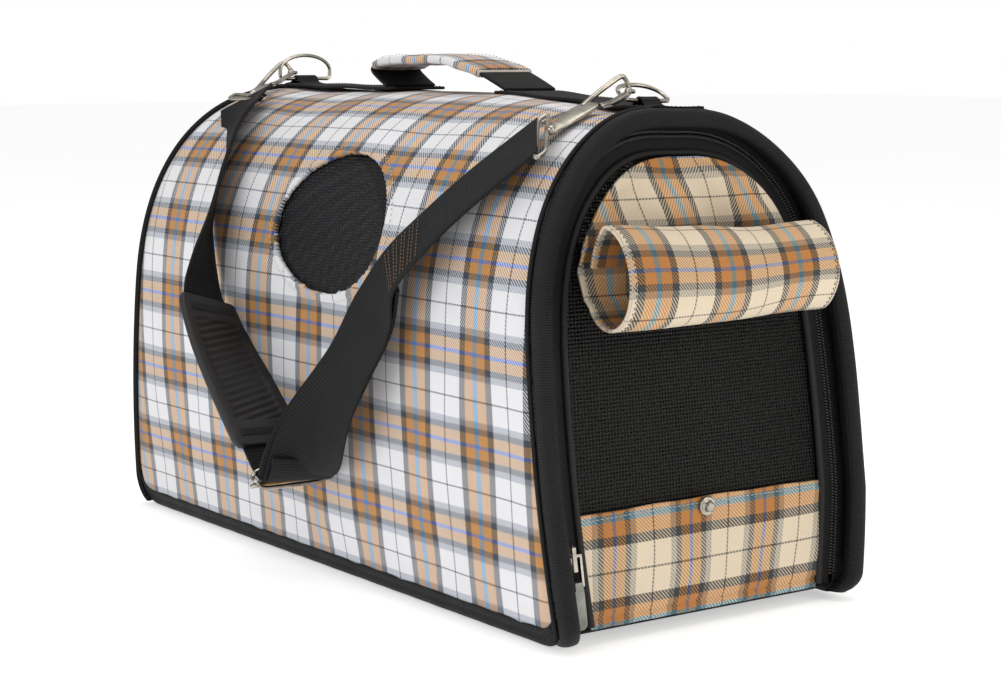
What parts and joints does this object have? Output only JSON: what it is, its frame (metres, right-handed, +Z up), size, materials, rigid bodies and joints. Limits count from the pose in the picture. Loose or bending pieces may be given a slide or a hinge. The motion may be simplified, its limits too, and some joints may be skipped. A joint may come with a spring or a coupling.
{
  "type": "pet transport carrier",
  "caption": "Arched soft-sided pet carrier with netting windows, a zipped front door under a rolled flap, a padded handle and a clip-on shoulder strap.",
  "frame": {"origin": "middle of the cabin's flat underside, on the surface it stands on", "axes": "+X out of the door along the length, +Y away from the side the strap hangs on, +Z up"},
  "size_m": [0.4727, 0.2593, 0.286],
  "materials": {
    "plaid_fabric": "printed plaid twill over foam",
    "black_net": "fine black mesh",
    "black_webbing": "black woven polyester",
    "stiffener": "black stiffening board",
    "nylon_teeth": "black nylon coil",
    "nickel": "nickel-plated wire",
    "grey_metal": "grey painted metal",
    "pad_rubber": "ribbed black rubber"
  },
  "bodies": {
    "cabin": {"shell_panel": "plaid_fabric", "window_net_near": "black_net", "window_net_far": "black_net", "rear_panel": "plaid_fabric", "rear_net": "black_net", "rear_binding": "black_webbing", "base_panel": "black_webbing", "base_board": "stiffener", "side_seam_near": "black_webbing", "side_seam_far": "black_webbing", "front_lip": "black_webbing", "zip_tape_outer": "black_webbing", "zip_teeth_outer": "nylon_teeth", "ridge_webbing_rear": "black_webbing", "ridge_webbing_front": "black_webbing", "ring_loop_rear": "black_webbing", "ring_loop_front": "black_webbing", "handle_foot_rear": "black_webbing", "handle_foot_front": "black_webbing"},
    "door": {"zip_teeth_inner": "nylon_teeth", "door_gusset": "black_webbing", "door_piping": "black_webbing", "door_net": "black_net", "door_lower_panel": "plaid_fabric", "snap_stud": "nickel"},
    "flap": {"door_flap": "plaid_fabric"},
    "slider": {"zip_slider": "nickel"},
    "link": {"pull_link": "nickel"},
    "tab": {"pull_tab": "grey_metal"},
    "ring_rear": {"d_ring_rear": "nickel"},
    "ring_front": {"d_ring_front": "nickel"},
    "grip": {"handle_grip": "plaid_fabric"},
    "strap": {"hook_rear": "nickel", "hook_eye_rear": "nickel", "hook_front": "nickel", "hook_eye_front": "nickel", "strap_rear_leg": "black_webbing", "shoulder_pad": "pad_rubber", "strap_lower_loop": "black_webbing", "strap_front_leg": "black_webbing", "slide_adjuster": "nickel"},
    "gate_rear": {"hook_gate_rear": "nickel"},
    "gate_front": {"hook_gate_front": "nickel"}
  },
  "joints": [
    {"name": "door_fold", "type": "hinge", "parent": "cabin", "child": "door", "pos_m": [0.2152, 0, 0.009], "axis": [0, 1, 0], "range_deg": [0, 75]},
    {"name": "flap_lift", "type": "hinge", "parent": "door", "child": "flap", "pos_m": [0.1989, 0, 0.24], "axis": [0, -1, 0], "range_deg": [0, 60]},
    {"name": "zip_slide", "type": "slide", "parent": "door", "child": "slider", "axis": [-0.087, -0.0697, 0.9938], "range_m": [0, 0.05]},
    {"name": "pull_link_swing", "type": "hinge", "parent": "slider", "child": "link", "pos_m": [0.21487, -0.0868, 0.0472], "axis": [0, -1, 0], "range_deg": [0, 120]},
    {"name": "pull_tab_swing", "type": "hinge", "parent": "link", "child": "tab", "pos_m": [0.21614, -0.0858, 0.0327], "axis": [0, -1, 0], "range_deg": [0, 60]},
    {"name": "ring_rear_tip", "type": "hinge", "parent": "cabin", "child": "ring_rear", "pos_m": [-0.178, 0, 0.27], "axis": [0, 1, 0], "range_deg": [-8, 8]},
    {"name": "ring_front_tip", "type": "hinge", "parent": "cabin", "child": "ring_front", "pos_m": [0.172, 0, 0.27], "axis": [0, 1, 0], "range_deg": [0, 8]},
    {"name": "handle_tilt", "type": "hinge", "parent": "cabin", "child": "grip", "pos_m": [-0.015, 0, 0.2665], "axis": [1, 0, 0], "range_deg": [-20, 20], "deforming": ["handle_foot_rear", "handle_foot_front"]},
    {"name": "strap_swing", "type": "hinge", "parent": "cabin", "child": "strap", "pos_m": [0, -0.0155, 0.274], "axis": [-1, 0, 0], "range_deg": [0, 26]},
    {"name": "gate_rear_press", "type": "hinge", "parent": "strap", "child": "gate_rear", "pos_m": [-0.15741, -0.03362, 0.2675], "axis": [0, -0.3376, 0.9413], "range_deg": [0, 18], "stiffness_Nm_per_rad": 0.02, "springref_deg": -11.46},
    {"name": "gate_front_press", "type": "hinge", "parent": "strap", "child": "gate_front", "pos_m": [0.16308, -0.04064, 0.26349], "axis": [0, 0.3857, -0.9226], "range_deg": [0, 18], "stiffness_Nm_per_rad": 0.02, "springref_deg": -11.46}
  ]
}
